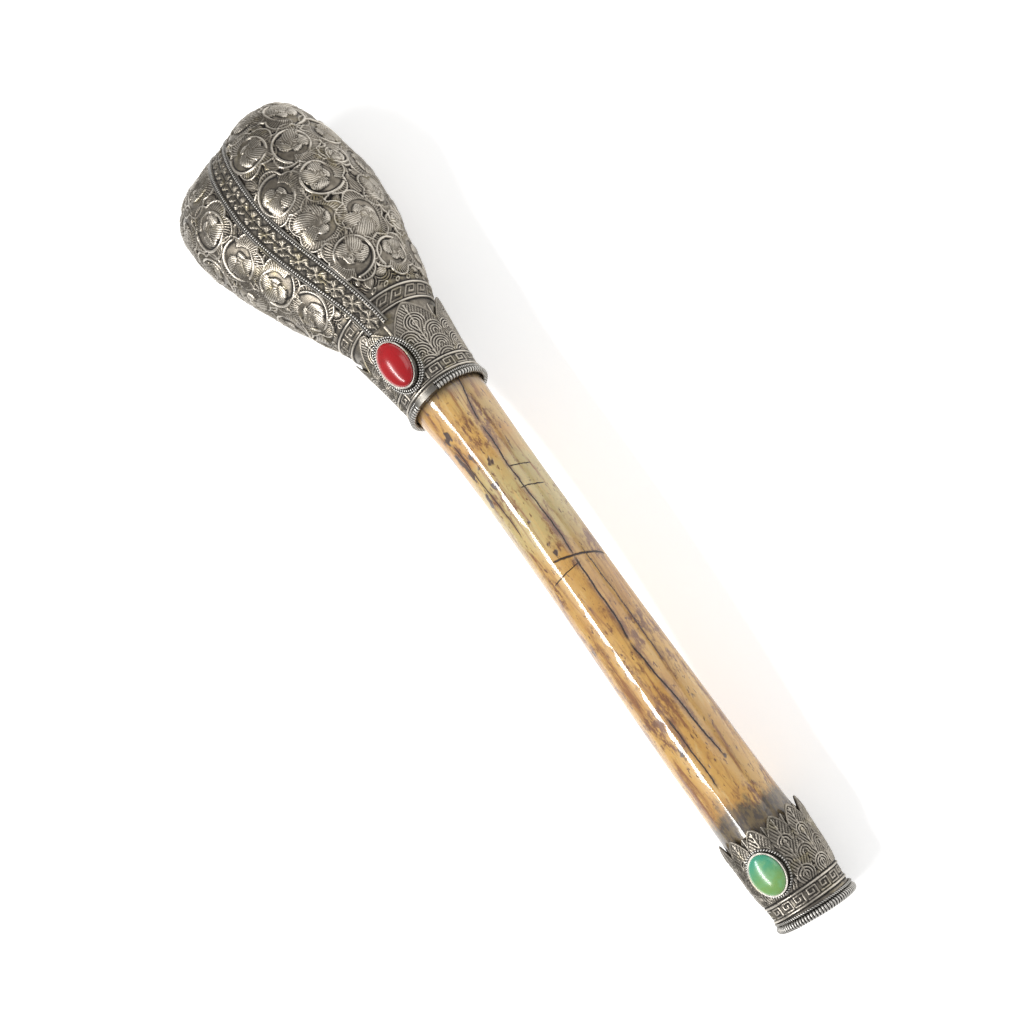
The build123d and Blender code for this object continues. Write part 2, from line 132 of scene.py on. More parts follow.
# Start and end along the bone, place round it, width, drift
BONE_CRACKS = (
    (203.0, 230.0, 8.3, 0.38, 0.19),
    (144.0, 204.5, 8.3, 0.38, 0.0),
    (108.0, 146.0, 6.0, 0.50, 0.060),
    (58.0, 110.0, 10.0, 0.44, -0.078),
    (50.0, 82.0, 1.8, 0.34, 0.0),
    (96.0, 148.0, 12.5, 0.20, 0.0),
    (160.0, 205.0, -5.0, 0.30, 0.0),
)
# Start and end round the bone, place along it, width, lean
RING_CRACKS = (
    (-0.5, 22.0, 147.5, 0.62, -0.27),
    (-6.0, 9.0, 140.5, 0.28, 0.10),
    (7.0, 17.0, 185.0, 0.32, -0.25),
    (6.0, 16.5, 176.0, 0.32, -0.22),
)

# ---- Camera: the view's direction and distance in the frame of the bone's chord ----
CHORD_PITCH = 4.02  # degrees that the chord rises towards the bell
VIEW_ALONG = 12.2  # degrees that the view leans towards the mouth
VIEW_ASIDE = 22.8  # degrees that it leans to the right
VIEW_DISTANCE = 850.0
VIEW_TARGET = (176.2, 4.8)  # mm along the chord and to the left
VIEW_ROLL = 53.96
LENS = 83.6


# ---- Numbers ----
def unit(vectors):
    return vectors / np.maximum(np.linalg.norm(vectors, axis=-1, keepdims=True), 1e-12)


def smooth(value):
    value = np.clip(value, 0.0, 1.0)
    return value * value * (3 - 2 * value)


def ridge(distance, half_width):
    """Rounded ridge: 1 in the middle, 0 beyond its half width."""
    return np.sqrt(np.clip(1 - (distance / half_width) ** 2, 0, 1))


class Axes:
    """Local axes in millimetres: x along the bone, y to the left, z away from the table."""

    def __init__(self, origin, along):
        along = unit(np.array(along, float))
        up = np.array((0.0, 0.0, 1.0))
        lift = unit(up - along * (up @ along))
        self.origin = np.array(origin, float)
        self.rows = np.stack((along, np.cross(lift, along), lift))

    def world(self, points):
        return self.origin + np.asarray(points) @ self.rows * MM

    def local(self, points):
        return (np.asarray(points) - self.origin) @ self.rows.T / MM


# ---- Measuring the CAD parts ----
def vertices(node):
    mesh = frame["nodes"][node].data
    points = np.empty(len(mesh.vertices) * 3)
    mesh.vertices.foreach_get("co", points)
    return points.reshape(-1, 3)


def tree_of(*nodes):
    points, faces = [], []
    for node in nodes:
        base = len(points)
        points.extend(map(tuple, vertices(node)))
        for face in frame["nodes"][node].data.polygons:
            faces.append([base + corner for corner in face.vertices])
    return BVHTree.FromPolygons(points, faces)


def cast(tree, starts, ends):
    """Where each ray from a start to its end first meets the surface; nan where it misses."""
    shape = starts.shape
    starts, ends = starts.reshape(-1, 3), ends.reshape(-1, 3)
    hits = np.full(starts.shape, np.nan)
    for row, (start, end) in enumerate(zip(starts, ends)):
        way = Vector(end - start)
        point = tree.ray_cast(Vector(start), way, way.length)[0]
        if point is not None:
            hits[row] = point
    return hits.reshape(shape)


def fit_circle(flat):
    """Centre of the circle nearest to points in a plane."""
    system = np.column_stack((2 * flat, np.ones(len(flat))))
    return np.linalg.lstsq(system, (flat**2).sum(1), rcond=None)[0][:2]


def ring_axes(node):
    """Axes of a wire ring, starting at the side of the ring that faces the mouth."""
    points = vertices(node)
    middle = points.mean(0)
    sides = np.linalg.svd(points - middle, full_matrices=False)[2]
    normal = sides[2] * np.sign(sides[2][0])
    middle = middle + fit_circle((points - middle) @ sides[:2].T) @ sides[:2]
    start = Axes(middle, normal).local(points)[:, 0].min()
    return Axes(middle + normal * start * MM, normal)


def sleeve_axes(node, guess, near, far):
    """Axes of a turned sleeve, from circles fitted round it at two stations."""
    tree = tree_of(node)
    around = np.linspace(0, 2 * pi, 72, endpoint=False)
    circle = BESIDE * np.column_stack((0 * around, np.sin(around), np.cos(around)))
    for _ in range(3):
        centres = []
        for x in (near, far):
            ring = circle + (x, 0, 0)
            hits = cast(tree, guess.world(ring), guess.world(ring * (1, 0.2, 0.2)))
            local = guess.local(hits[~np.isnan(hits[:, 0])])
            centres.append(guess.world((x, *fit_circle(local[:, 1:]))))
        along = centres[1] - centres[0]
        guess = Axes(centres[0] - along * near / (far - near), along)
    return guess


# ---- Meshes ----
class Patch:
    """Grid of world points with its relief; keep, if given, says which cells become faces."""

    def __init__(self, points, relief, closed=False, keep=None):
        self.points, self.relief, self.closed, self.keep = points, relief, closed, keep

    def quads(self):
        rows, cols = self.points.shape[:2]
        spans = cols if self.closed else cols - 1
        row, col = np.meshgrid(np.arange(rows - 1), np.arange(spans), indexing="ij")
        here, next_row = row * cols, (row + 1) * cols
        left = (col + 1) % cols
        faces = np.stack((here + col, next_row + col, next_row + left, here + left), -1)
        return faces.reshape(-1, 4) if self.keep is None else faces[self.keep]


def shown(name, data):
    """New object in the scene."""
    made = bpy.data.objects.new(name, data)
    bpy.context.scene.collection.objects.link(made)
    return made


def piece(node, style, slot, patches):
    """One mesh from several patches, standing for a CAD node and riding with the trumpet."""
    name = f"{node}_{style}"
    points, relief, faces, first = [], [], [], 0
    for patch in patches:
        points.append(patch.points.reshape(-1, 3))
        relief.append(patch.relief.ravel())
        faces.append(patch.quads() + first)
        first += len(points[-1])
    points, relief, faces = np.concatenate(points), np.concatenate(relief), np.concatenate(faces)
    used, faces = np.unique(faces, return_inverse=True)
    mesh = bpy.data.meshes.new(name)
    mesh.from_pydata(points[used], [], faces.reshape(-1, 4))
    attribute = mesh.attributes.new("relief", "FLOAT", "POINT")
    attribute.data.foreach_set("value", relief[used].astype(np.float32))
    mesh.shade_smooth()
    mesh.materials.append(MATERIALS[slot])
    made = shown(name, mesh)
    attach(made, BODY)
    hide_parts(node)


def normals_of(points):
    """Outward unit normals of a grid."""
    return unit(np.cross(np.gradient(points, axis=0), np.gradient(points, axis=1)))


def blur(values, times):
    """A grid smoothed along its rows and columns."""
    for _ in range(times):
        for axis in (0, 1):
            values = np.moveaxis(values, axis, 0)
            middle = values.copy()
            middle[1:-1] = (values[:-2] + 2 * values[1:-1] + values[2:]) / 4
            values = np.moveaxis(middle, 0, axis)
    return values


def fill_gaps(points):
    """A grid whose missing points are drawn in from the rows before and after them."""
    rows = np.arange(len(points))
    for column in range(points.shape[1]):
        known = ~np.isnan(points[:, column, 0])
        for axis in range(3):
            points[:, column, axis] = np.interp(rows, rows[known], points[known, column, axis])
    return points


def as_share(height, reach, gain):
    """Relief as a share: 0 in the hollows and beside ridges, 1 on the crests; the silver turns it into
    painted shade at 0 and a painted highlight at 1, besides tarnish and rubbing.
    """
    level = np.clip((height - RELIEF_LOW) / (RELIEF_HIGH - RELIEF_LOW), 0, 1)
    # crest: darker beside ridges and lighter on their tops, painted relief shading
    crest = np.clip(0.5 + gain * (height - blur(height, reach)), 0, 1)
    return 0.35 * level + 0.65 * crest


def resampled(path, outward, step):
    """A path and its outward directions at even steps, in millimetres."""
    lengths = np.linalg.norm(np.diff(path, axis=0), axis=-1) / MM
    place = np.concatenate(([0.0], np.cumsum(lengths)))
    even = np.linspace(0, place[-1], max(int(place[-1] / step), 8))

    def pick(values):
        return np.column_stack([np.interp(even, place, values[:, axis]) for axis in range(3)])

    return even, pick(path), unit(pick(outward))


def swept(path, outward, outline, step, sides, closed):
    """Patch round a path, brightest where it is thickest, from rubbing and a painted highlight, and
    dark between beads and turns, from painted shade; outward is where an angle round it is 0.
    """
    place, path, outward = resampled(path, outward, step)
    if closed:
        tangent = unit(np.roll(path[:-1], -1, axis=0) - np.roll(path[:-1], 1, axis=0))
        tangent = np.vstack((tangent, tangent[:1]))
    else:
        tangent = unit(np.gradient(path, axis=0))
    outward = unit(outward - tangent * (outward * tangent).sum(1, keepdims=True))
    side = np.cross(outward, tangent)
    angle = np.linspace(0, 2 * pi, sides, endpoint=False)
    reach = outline(place[:, None], angle)
    if not closed:
        reach = reach * np.where((place == 0) | (place == place[-1]), 0.05, 1)[:, None]
    spokes = outward[:, None] * np.cos(angle)[:, None] + side[:, None] * np.sin(angle)[:, None]
    low, high = reach[1:-1].min(), reach.max()
    if low < 0.9 * high:
        # relief from the wire's thickness: painted shade in the gaps between beads and turns, painted
        # highlight and rubbing on their tops
        wear_and_gap_shade = ((reach - low) / (high - low)).clip(0, 1) ** 2.5
    else:
        wear_and_gap_shade = np.full(reach.shape, 0.42)
    return Patch(path[:, None] + spokes * reach[..., None] * MM, wear_and_gap_shade, closed=True)


# ---- Wire outlines: radius at a place along the wire and an angle round it ----
def strands(radius, core, wave):
    """Rounded strands over a core, which is given as a share of the radius."""
    return radius * (core + (1 - core) * np.sqrt(np.abs(wave)))


def beaded(radius, pitch, place, angle):
    """Beads in a row."""
    return strands(radius, 0.45, np.sin(pi * place / pitch) + 0 * angle)


def coiled(radius, pitch, place, angle):
    """Wire wound round a core, its turns side by side and leaning."""
    return strands(radius, 0.62, np.sin(pi * place / pitch + COIL_SLANT * np.cos(angle)))


def twisted(radius, pitch, place, angle):
    """Two strands twisted together."""
    return strands(radius, 0.6, np.cos(angle + pi * place / pitch))


def drawn(radius, place, angle):
    """Plain wire, a little uneven."""
    return radius * (1 + 0.04 * np.sin(1.7 * place) * np.sin(0.61 * place + 1)) + 0 * angle


# ---- Chased and embossed motifs, in local millimetres ----
def ribbed_leaf(u, v, length, width, ribs):
    """Leaf from the origin towards +u, broad near its tip, with ribs along each side of its middle."""
    share = np.clip(u / length, 0, 1)
    spread = width * (0.35 + 0.65 * smooth(share * 1.5))
    beyond = np.clip((share - 0.55) / 0.45, 0, None) ** 2
    inside = 1 - (v / spread) ** 2 - beyond
    body = 0.66 * np.clip(inside, 0, 1) ** 0.3 * (0.45 + 0.55 * share)
    grooves = 0.5 + 0.5 * np.cos(pi * (2 * ribs + 1) * v / spread)
    cut = 0.26 * grooves * smooth(share * 4) * (inside > 0.12)
    return np.where((u > 0) & (u < length * 1.01) & (inside > 0), body - cut, 0)


def turned_by(u, v, angle):
    return u * cos(angle) + v * sin(angle), v * cos(angle) - u * sin(angle)


def roundel(u, v, size, turn, hand, ringed):
    """Spray of fluted leaves, inside a scrolling stem if it is ringed, with lobed leaves outside."""
    v = v * hand
    reach = np.hypot(u, v)
    angle = (np.arctan2(v, u) - turn) % (2 * pi)
    stem_radius = size * (1.02 - 0.42 * angle / (2 * pi))
    edge = size * (1.0 + 0.30 * np.abs(np.sin(2.5 * angle + 0.4)))
    flutes = 0.5 + 0.5 * np.cos(round(6.5 * size) * angle + 1.6 * reach)
    height = (0.10 + 0.30 * flutes) * smooth((edge - reach) / 0.5)
    height = np.maximum(height, 0.55 * ridge(reach - edge + 0.4, 0.4))
    inner = stem_radius if ringed else 0.8 * size
    height = np.where(reach > inner, height, 0)
    taper = smooth((5.6 - angle) / 1.2) * smooth(angle / 0.2)
    stem = 0.62 * ridge(reach - stem_radius, 0.04 * size + 0.22) * taper * ringed
    height = np.maximum(height, stem)
    for lean, length, width in SPRAY if ringed else FAN:
        pu, pv = turned_by(u, v, turn + 2.6 + lean)
        leaf = ribbed_leaf(pu + 0.12 * size, pv - 0.35 * pu**2 / size, size * length, size * width, 4)
        height = np.where(leaf > 0.08, 0.12 + leaf, height)
    swell = 0.34 * np.clip(1.3 - (reach / size) ** 2, 0, 1)
    return np.where(reach < edge, height + swell, 0)


def single_leaf(u, v, size, turn):
    """Curled leaf that fills a gap between roundels."""
    u, v = turned_by(u, v, turn)
    u += 1.05 * size
    return 0.85 * ribbed_leaf(u, v - 0.30 * (u - size) ** 2 / size, 2.15 * size, 0.72 * size, 2)


def meander(place, across, cell, low, high):
    """Band of square scrolls between low and high, with a double ridge at each side."""
    tall = high - low
    u = place % cell / cell
    v = (across - low) / tall
    corners = ((0, 0.12), (0.84, 0.12), (0.84, 0.86), (0.22, 0.86))
    corners += ((0.22, 0.4), (0.58, 0.4), (0.58, 0.62))
    height = np.zeros(np.broadcast(u, v).shape)
    for (u0, v0), (u1, v1) in zip(corners, corners[1:]):
        du = np.maximum(np.maximum(min(u0, u1) - u, u - max(u0, u1)), 0) * cell
        dv = np.maximum(np.maximum(min(v0, v1) - v, v - max(v0, v1)), 0) * tall
        height = np.maximum(height, ridge(np.hypot(du, dv), 0.30))
    inside = (across > low) & (across < high)
    height = np.where(inside, 0.34 * height - 0.12, 0)
    for edge in (low - 0.45, high + 0.45):
        height = np.maximum(height, 0.38 * ridge(across - edge, 0.42))
    return height


# ---- The bell's surface ----
class Bell:
    """Rows over the bell, measured on its CAD nodes: square to the neck, then fanning round its end."""

    def __init__(self):
        self.casing = tree_of("bell_casing_left", "bell_casing_right")
        self.straps = {True: tree_of("front_strap"), False: tree_of("rear_strap")}
        places = NECK.local(np.vstack([vertices("bell_casing_left"), vertices("bell_casing_right")]))
        self.pivot = places[:, 0].max() - FAN_DEPTH
        self.strap_start = NECK.local(vertices("front_strap"))[:, 0].min()
        self.measure_strap()
        along = np.arange(places[:, 0].min() + 0.1, self.pivot, ROW_STEP)
        fan = np.arange(0, radians(FAN_END), ROW_STEP / FAN_DEPTH)
        self.x = np.concatenate((along, np.full(len(fan), self.pivot)))
        self.tilt = np.concatenate((np.zeros(len(along)), fan))
        self.length = self.x + FAN_DEPTH * self.tilt

    def measure_strap(self):
        """The strap's middle and half width at stations along the bell, found by looking down on it."""
        across = np.arange(-12, 18, 0.1)
        self.stations = np.arange(self.strap_start + 0.5, self.pivot, 2.0)
        self.middles, self.halves = [], []
        for x in self.stations:
            line = np.column_stack((x + 0 * across, across, OUTSIDE + 0 * across))
            hits = cast(self.straps[True], NECK.world(line), NECK.world(line * (1, 1, 0)))
            there = across[~np.isnan(hits[:, 0])]
            self.middles.append((there[0] + there[-1]) / 2)
            self.halves.append((there[-1] - there[0]) / 2)

    def seam(self, x):
        return np.interp(x, self.stations, self.middles)

    def half(self, x):
        return np.interp(x, self.stations, self.halves)

    def rays(self, rows, across, out):
        """Starts and ends of rays aimed from outside at the bell's spine, in the directions out."""
        x = self.x[rows][:, None] + 0 * across
        spine = np.stack((x, self.seam(x) + across, 0 * x), -1)
        tilt = self.tilt[rows][:, None]
        way = np.stack((np.sin(tilt) + 0 * across, np.cos(tilt) * out[0], np.cos(tilt) * out[1]), -1)
        return NECK.world(spine + OUTSIDE * way), NECK.world(spine)

    def casing_points(self, angles):
        """Points on the casing in every row, at angles counted from the front towards the left."""
        rows = np.arange(len(self.x))
        zero = np.zeros((len(rows), len(angles)))
        starts, ends = self.rays(rows, zero, (np.sin(angles), np.cos(angles)))
        return NECK.local(fill_gaps(cast(self.casing, starts, ends)))

    def line_points(self, tree, front, inset, shares):
        """Points on a tree's surface along a strap, at shares of its half width less an inset."""
        rows = np.nonzero(self.x >= self.strap_start + 0.2)[0]
        sign = 1 if front else -1
        across = (self.half(self.x[rows]) - inset)[:, None] * shares * sign
        starts, ends = self.rays(rows, across, (0 * across, sign + 0 * across))
        return rows, NECK.local(fill_gaps(cast(tree, starts, ends)))


def hole_distance(points):
    """How far points lie from the axes of the sound holes."""
    nearest = np.full(points.shape[:-1], FAR)
    for word, axis in HOLE_AXES.items():
        away = points - NECK.local(vertices(f"sound_hole_ring_{word}")).mean(0)
        depth = away @ axis
        away = np.linalg.norm(away - depth[..., None] * axis, axis=-1)
        nearest = np.minimum(nearest, np.where(depth > -HOLE_REACH, away, FAR))
    return nearest


def hole_axis(word):
    """Axis of a sound hole: the direction that the faces of its ring turn towards least."""
    mesh = frame["nodes"][f"sound_hole_ring_{word}"].data
    normals = np.array([face.normal * face.area for face in mesh.polygons if face.area > 0])
    spread = normals.T @ (normals / np.linalg.norm(normals, axis=1, keepdims=True))
    axis = np.linalg.eigh(spread)[1][:, 0]
    return NECK.rows @ (axis * np.sign(axis[0]))


def place_motifs(points, room, order):
    """Index and size of motifs packed over a surface, the largest first, that hardly overlap."""
    placed, centres, sizes = [], np.empty((0, 3)), np.empty(0)
    for size in MOTIF_SIZES:
        for index in order:
            if room[index] < size * 0.9:
                continue
            gaps = np.linalg.norm(centres - points[index], axis=1) - sizes
            if len(gaps) and gaps.min() < size * 0.93:
                continue
            placed.append((index, size))
            centres = np.vstack((centres, points[index]))
            sizes = np.append(sizes, size)
    return placed


def foliage(points, normals, room, order):
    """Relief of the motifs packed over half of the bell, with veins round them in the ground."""
    flat, facing = points.reshape(-1, 3), normals.reshape(-1, 3)
    height = np.zeros(len(flat))
    beyond = np.full(len(flat), 9.0)
    for number, (index, size) in enumerate(place_motifs(flat, room.ravel(), order)):
        centre, normal = flat[index], facing[index]
        along = unit(np.array((1.0, 0, 0)) - normal * normal[0])
        across = np.cross(normal, along)
        near = np.nonzero(np.abs(flat - centre).max(1) < size * 1.35 + 3)[0]
        away = flat[near] - centre
        u, v = away @ along, away @ across
        turn = number * GOLDEN_TURN
        if size > LEAF_SIZE:
            motif = roundel(u, v, size, turn, 1 if number % 2 else -1, number % 3 != 1)
        else:
            motif = single_leaf(u, v, size, turn)
        height[near] = np.maximum(height[near], EMBOSSING * motif)
        beyond[near] = np.minimum(beyond[near], np.hypot(u, v) - size)
    veins = 0.5 + 0.5 * np.cos(2 * pi * beyond / VEIN_PITCH)
    height = np.where(height > 0, height, GROUND + 0.5 * veins * (beyond < 3))
    return height.reshape(points.shape[:2])


def packing_order(room, length, edge):
    """Every third point with room for a motif: from the straps outwards, a little shuffled."""
    candidates = np.zeros(room.shape, bool)
    candidates[::3, ::3] = True
    chosen = np.nonzero(candidates.ravel() & (room.ravel() > MOTIF_SIZES[-1]))[0]
    shuffle = np.random.default_rng(PACKING_SEED).uniform(0, 3.0, len(chosen))
    return chosen[np.lexsort((-length.ravel()[chosen], np.round(edge.ravel()[chosen] / 3 + shuffle)))]


def bell_half(left):
    """Embossed silver over one half of the bell."""
    angles = np.linspace(0, pi, HALF_COLUMNS) if left else np.linspace(-pi, 0, HALF_COLUMNS)
    points = blur(BELL.casing_points(angles), 4)
    normals = normals_of(points)
    x = points[..., 0]
    steps = np.linalg.norm(np.diff(points, axis=1), axis=-1)
    arc = np.concatenate((np.zeros((len(points), 1)), np.cumsum(steps, axis=1)), axis=1)
    front = arc if left else arc[:, -1:] - arc
    edge = np.minimum(front, arc[:, -1:] - front)
    length = BELL.length[:, None] + 0 * arc
    border = BELL.half(BELL.x)[:, None] + STRAP_BORDER
    holes = hole_distance(points)
    room = np.minimum.reduce((edge - border, length - FOLIAGE_START, holes - HOLE_BORDER))

    wooded = smooth((room + 1.2) / 1.2)
    height = foliage(points, normals, room, packing_order(room, length, edge)) * wooded
    band = (x < BELL_BAND[1] + 1.0) & (BELL.tilt[:, None] == 0)
    height = np.where(band, 1.7 * meander(arc, x, BELL_BAND_CELL, *BELL_BAND), height)
    punch = np.hypot((arc + PUNCH_PITCH / 2) % PUNCH_PITCH - PUNCH_PITCH / 2, x - PUNCH_ROW)
    height = np.where(punch < PUNCH_RADIUS + 0.45, 0.4 * ridge(punch - PUNCH_RADIUS, 0.3), height)
    height += 0.30 * np.sin(0.33 * arc + 1.3) * np.sin(0.21 * x + 0.4) * wooded
    height *= smooth((edge - border + 0.8) / 0.8)
    carved = points + normals * height[..., None]
    return Patch(NECK.world(carved), as_share(height, 7, 1.9), keep=holes[:-1, :-1] > HOLE_RADIUS)


def strap(front):
    """Chased strap along a seam: four-leaved flowers, pairs of leaves between them, plain borders."""
    shares = np.linspace(-1, 1, STRAP_COLUMNS)
    rows, points = BELL.line_points(BELL.straps[front], front, 0.05, shares)
    points = blur(points, 2)
    half = BELL.half(BELL.x[rows])[:, None]
    across = half * shares
    length = BELL.length[rows][:, None] + 0 * across

    along = length % FLOWER_PITCH - FLOWER_PITCH / 2
    height = 0.30 * ridge(np.hypot(along, across), 0.5)
    for number in range(4):
        u, v = turned_by(along, across, pi / 4 + number * pi / 2)
        height = np.maximum(height, 0.8 * ribbed_leaf(u - 0.4, v, 3.2, 1.6, 1))
    between = (length + FLOWER_PITCH / 2) % FLOWER_PITCH - FLOWER_PITCH / 2
    for side in (1, -1):
        for slope in (0.5, pi - 0.5):
            u, v = turned_by(between, across * side - 0.4, slope)
            height = np.maximum(height, 0.7 * ribbed_leaf(u - 0.1, v, 2.7, 1.0, 1))
    height = 1.7 * np.where(np.abs(across) < half - STRAP_EDGING, height - 0.16, 0)
    carved = points + normals_of(points) * height[..., None]
    return Patch(NECK.world(carved), as_share(height, 5, 1.5))


def strap_wire(front, side, inset, lift, outline, step, sides):
    """Wire along a strap, or beside it if its inset is negative, lifted from the silver below."""
    tree = BELL.straps[front] if inset > 0 else BELL.casing
    rows, points = BELL.line_points(tree, front, inset, side)
    path = blur(np.repeat(points, 3, axis=1), 6)[:, 1]
    tilt = BELL.tilt[rows]
    sign = 1 if front else -1
    outward = np.column_stack((np.sin(tilt), 0 * tilt, sign * np.cos(tilt)))
    path = path + outward * lift
    return swept(NECK.world(path), outward @ NECK.rows, outline, step, sides, closed=False)


# ---- Sleeves ----
class Petals:
    """Outline of a sleeve's petalled end, from the valleys between petals to their tips."""

    def __init__(self, count, tip_angle, valley, tip, fans=()):
        self.fans = fans
        self.turn = 2 * pi / count
        self.tip_angle, self.valley, self.tip = radians(tip_angle), valley, tip

    def share(self, angle):
        """0 on a petal's middle line, 1 or -1 at its sides."""
        return ((angle - self.tip_angle) / self.turn + 0.5) % 1 * 2 - 1

    def end(self, angle):
        """Where the outline lies along the sleeve."""
        share = np.abs(self.share(angle))
        return self.valley + (self.tip - self.valley) * (1 - share**PETAL_POWER)


def petal_relief(x, angle, radius, petals, base):
    """Carved petals: a raised rim, a middle rib, and nested arcs stacked on each side of it."""
    half = radius * petals.turn / 2
    across = petals.share(angle) * half
    side = np.abs(across)
    rise = x - base
    rim = (petals.end(angle) - x) * 0.75
    height = 0.22 + 0.20 * np.cos(2 * pi * (0.5 * rise - side) / 1.1)
    for place, offset, reach in petals.fans:
        centre = place * (petals.tip - base)
        spread = np.hypot(rise - centre, side - offset * half)
        rings = 0.5 + 0.5 * np.cos(2 * pi * (spread - reach + 0.35) / 1.05)
        inside = (spread < reach) & (rise > centre - 0.5)
        height = np.where(inside, 0.46 * rings, height)
    height = np.maximum(height, 0.46 * ridge(across, 0.34) * (rise > 1.0))
    height = np.where(rim < 1.0, 0.10 + 0.30 * ridge(rim - 0.4, 0.5), height)
    height = height - 0.22 * ridge(side - half, 0.35)
    return height * smooth(rise / 0.6)


def sleeve_profile(tree, axes, petals, start):
    """Radius of a CAD sleeve at stations along it, taken over the petal that reaches furthest."""
    stations = np.arange(start, petals.tip, 0.5)
    angles = petals.tip_angle + petals.turn * np.arange(round(2 * pi / petals.turn))
    x = stations[:, None] + 0 * angles
    out = np.stack((0 * x, np.sin(-angles) + 0 * x, np.cos(angles) + 0 * x), -1)
    spine = np.stack((x, 0 * x, 0 * x), -1)
    hits = axes.local(cast(tree, axes.world(spine + BESIDE * out), axes.world(spine + 8 * out)))
    radii = np.hypot(hits[..., 1], hits[..., 2])
    known = ~np.isnan(radii).all(1)
    best = np.nanmax(radii[known], axis=1)
    return lambda x: np.interp(x, stations[known], best)


def sleeve_patch(axes, profile, petals, start, relief, lift=0.3, drop=0.0, limit=None):
    """Sheet round a sleeve, from start to the petals' outline or a nearer limit, its edges turned in.

    The petals' tips stand off by lift, and the whole sheet lies inside the profile by drop.
    """
    angle = np.linspace(0, 2 * pi, SLEEVE_COLUMNS, endpoint=False)[::-1]
    end = petals.end(angle)
    if limit is not None:
        end = np.minimum(end, limit(angle))
    share = np.linspace(0, 1, SLEEVE_ROWS)[:, None]
    x = start + share * (end - start)
    radius = profile(x) - drop
    height = relief(x, angle + 0 * x, radius)
    radius = radius + height + lift * share**6
    rows = [(x[:1], radius[:1] - 1.3), (x, radius), (x[-1:], radius[-1:] - 0.45)]
    x, radius = (np.vstack(values) for values in zip(*rows))
    # The turned-in first row's relief drops by 0.5, so the silver paints shade into the fold.
    height = np.vstack((height[:1] - 0.5, height, height[-1:]))
    points = np.stack((x, -radius * np.sin(angle), radius * np.cos(angle)), -1)
    return Patch(axes.world(points), as_share(height * 1.2, 5, 2.2), closed=True)


def carved_relief(petals, band):
    """Relief of a sleeve: key-fret band, then carved petals."""
    band_radius, low, high = band
    cell = 2 * pi * band_radius / BAND_CELLS

    def relief(x, angle, radius):
        fret = 1.5 * meander(angle * band_radius, x, cell, low, high)
        return np.where(x < high + 1.0, fret, petal_relief(x, angle, radius, petals, high + 1.2))

    return relief


def ribbed_relief(petals, half_width):
    """Relief of plain pointed leaves: one rib along the middle of each."""

    def relief(x, angle, radius):
        return 0.3 * ridge(petals.share(angle) * radius * petals.turn / 2, half_width)

    return relief


def clear_of_straps(angle):
    """Where the collar has to end to leave room for the straps."""
    across = -COLLAR_RADIUS * np.sin(angle) - BELL.seam(BELL.strap_start)
    wide = BELL.half(BELL.strap_start) + STRAP_BORDER
    return np.where(np.abs(across) < wide, BELL.strap_start - 0.3, FAR)


def neck_sleeve():
    """Collar: key-fret band, carved petals, pointed leaves behind them, room for the straps."""
    petals = Petals(6, 45.0, 25.0, 34.8, COLLAR_FANS)
    behind = Petals(6, 75.0, 24.8, 31.0)
    profile = sleeve_profile(tree_of("neck_sleeve"), NECK, petals, 4.2)
    carved, ribbed = carved_relief(petals, COLLAR_BAND), ribbed_relief(behind, 0.35)
    return [
        sleeve_patch(NECK, profile, petals, 3.0, carved, limit=clear_of_straps),
        sleeve_patch(NECK, profile, behind, 22.0, ribbed, drop=0.35, limit=clear_of_straps),
    ]


def mouth_sleeve():
    """Mouthpiece sleeve: key-fret band, carved petals and pointed leaves behind them."""
    petals = Petals(12, 8.0, 31.0, 37.0, MOUTH_FANS)
    behind = Petals(12, 23.0, 27.0, 35.4)
    profile = sleeve_profile(tree_of("mouth_sleeve"), MOUTH, petals, 5.2)
    carved, ribbed = carved_relief(petals, MOUTH_BAND), ribbed_relief(behind, 0.3)
    return [
        sleeve_patch(MOUTH, profile, petals, 3.4, carved, lift=0.5),
        sleeve_patch(MOUTH, profile, behind, 24.0, ribbed, drop=0.35),
    ]


# ---- Wire rings ----
def ring_wire(node, axes, winding, pitch, step, sides):
    """Wire in the place of a CAD ring, whole or open."""
    places = axes.local(vertices(node))
    reach = np.hypot(places[:, 1], places[:, 2])
    middle, wire = (reach.max() + reach.min()) / 2, (reach.max() - reach.min()) / 2
    x = (places[:, 0].max() + places[:, 0].min()) / 2
    angles = np.sort(np.arctan2(places[:, 1], places[:, 2]))
    gaps = np.diff(np.append(angles, angles[0] + 2 * pi))
    widest = gaps.argmax()
    closed = gaps[widest] < radians(OPEN_GAP)
    span = 2 * pi if closed else 2 * pi - gaps[widest]
    angle = angles[(widest + 1) % len(angles)] + np.linspace(0, span, 400)
    out = np.column_stack((0 * angle, np.sin(angle), np.cos(angle)))
    path = middle * out + (x, 0, 0)
    outline = partial(winding, wire, pitch)
    return swept(axes.world(path), out @ axes.rows, outline, step, sides, closed)


def setting_axes(sleeve, gem):
    """Local axes of a stone: origin on the sleeve's axis, z out through the stone."""
    middle = sleeve.local(vertices(gem)).mean(0)
    made = Axes(sleeve.world((middle[0], 0, 0)), sleeve.rows[0])
    out = unit(made.rows[1] * middle[1] + made.rows[2] * middle[2])
    made.rows = np.stack((made.rows[0], np.cross(out, made.rows[0]), out))
    return made


